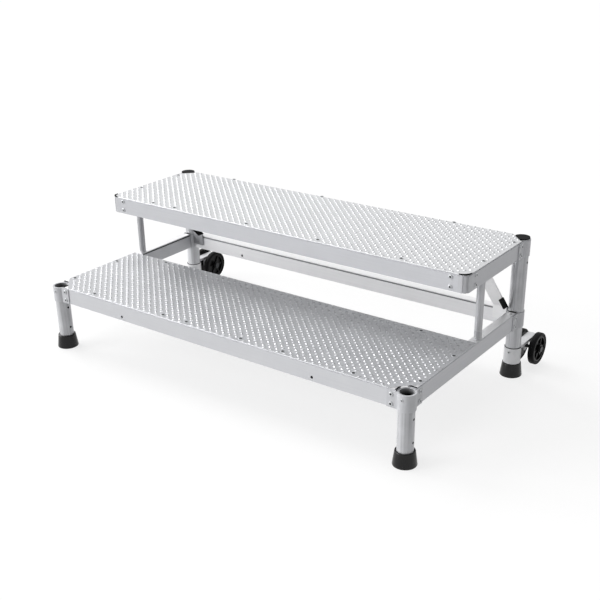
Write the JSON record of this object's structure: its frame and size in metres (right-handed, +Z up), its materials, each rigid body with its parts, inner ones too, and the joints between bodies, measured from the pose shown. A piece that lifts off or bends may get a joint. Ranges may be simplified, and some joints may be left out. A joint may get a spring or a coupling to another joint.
{
  "type": "two-step rolling work platform",
  "caption": "Two-step aluminium work platform with chequer-plate treads, tubular legs on rubber feet and twin wheels behind the rear legs for tilting and rolling.",
  "frame": {"origin": "on the floor, at the middle of the box round the whole platform", "axes": "+X along the steps, +Y from the front legs to the wheels, +Z up"},
  "size_m": [1.2804, 0.74, 0.404],
  "materials": {
    "extruded_aluminium": "satin mill",
    "aluminium_tube": "satin drawn",
    "cast_aluminium": "satin",
    "sheet_aluminium": "rolled",
    "chequer_plate": "bright rolled",
    "black_rubber": "moulded",
    "black_plastic": "moulded",
    "tyre_rubber": "moulded",
    "wheel_plastic": "moulded",
    "axle_steel": "turned"
  },
  "bodies": {
    "frame": {"brace_end_left": "black_plastic", "brace_end_right": "black_plastic", "brace_left": "sheet_aluminium", "brace_right": "sheet_aluminium", "cap_rear_left": "black_plastic", "cap_rear_right": "black_plastic", "corner_cap_left": "black_plastic", "corner_cap_right": "black_plastic", "corner_upper_front_left": "extruded_aluminium", "corner_upper_front_right": "extruded_aluminium", "fitting_lower_front_left": "cast_aluminium", "fitting_lower_front_right": "cast_aluminium", "fitting_lower_rear_left": "cast_aluminium", "fitting_lower_rear_right": "cast_aluminium", "fitting_upper_rear_left": "cast_aluminium", "fitting_upper_rear_right": "cast_aluminium", "foot_front_left": "black_rubber", "foot_front_right": "black_rubber", "foot_rear_left": "black_rubber", "foot_rear_right": "black_rubber", "leg_front_left": "aluminium_tube", "leg_front_right": "aluminium_tube", "leg_rear_left": "aluminium_tube", "leg_rear_right": "aluminium_tube", "lower_bearer_left": "extruded_aluminium", "lower_bearer_right": "extruded_aluminium", "lower_rail_front": "extruded_aluminium", "lower_rail_left": "extruded_aluminium", "lower_rail_middle": "extruded_aluminium", "lower_rail_rear": "extruded_aluminium", "lower_rail_right": "extruded_aluminium", "lower_tread": "chequer_plate", "post_left": "aluminium_tube", "post_right": "aluminium_tube", "upper_bearer_left": "extruded_aluminium", "upper_bearer_right": "extruded_aluminium", "upper_rail_front": "extruded_aluminium", "upper_rail_left": "extruded_aluminium", "upper_rail_rear": "extruded_aluminium", "upper_rail_right": "extruded_aluminium", "upper_tread": "chequer_plate", "wheel_bracket_left": "sheet_aluminium", "wheel_bracket_right": "sheet_aluminium"},
    "wheels_left": {"axle_left": "axle_steel", "hub_left_inner": "wheel_plastic", "hub_left_outer": "wheel_plastic", "tyre_left_inner": "tyre_rubber", "tyre_left_outer": "tyre_rubber"},
    "wheels_right": {"axle_right": "axle_steel", "hub_right_inner": "wheel_plastic", "hub_right_outer": "wheel_plastic", "tyre_right_inner": "tyre_rubber", "tyre_right_outer": "tyre_rubber"}
  },
  "joints": [
    {"name": "wheels_left_spin", "type": "hinge", "parent": "frame", "child": "wheels_left", "pos_m": [-0.6, 0.324, 0.0555], "axis": [1, 0, 0], "continuous": true},
    {"name": "wheels_right_spin", "type": "hinge", "parent": "frame", "child": "wheels_right", "pos_m": [0.6, 0.324, 0.0555], "axis": [1, 0, 0], "continuous": true}
  ]
}
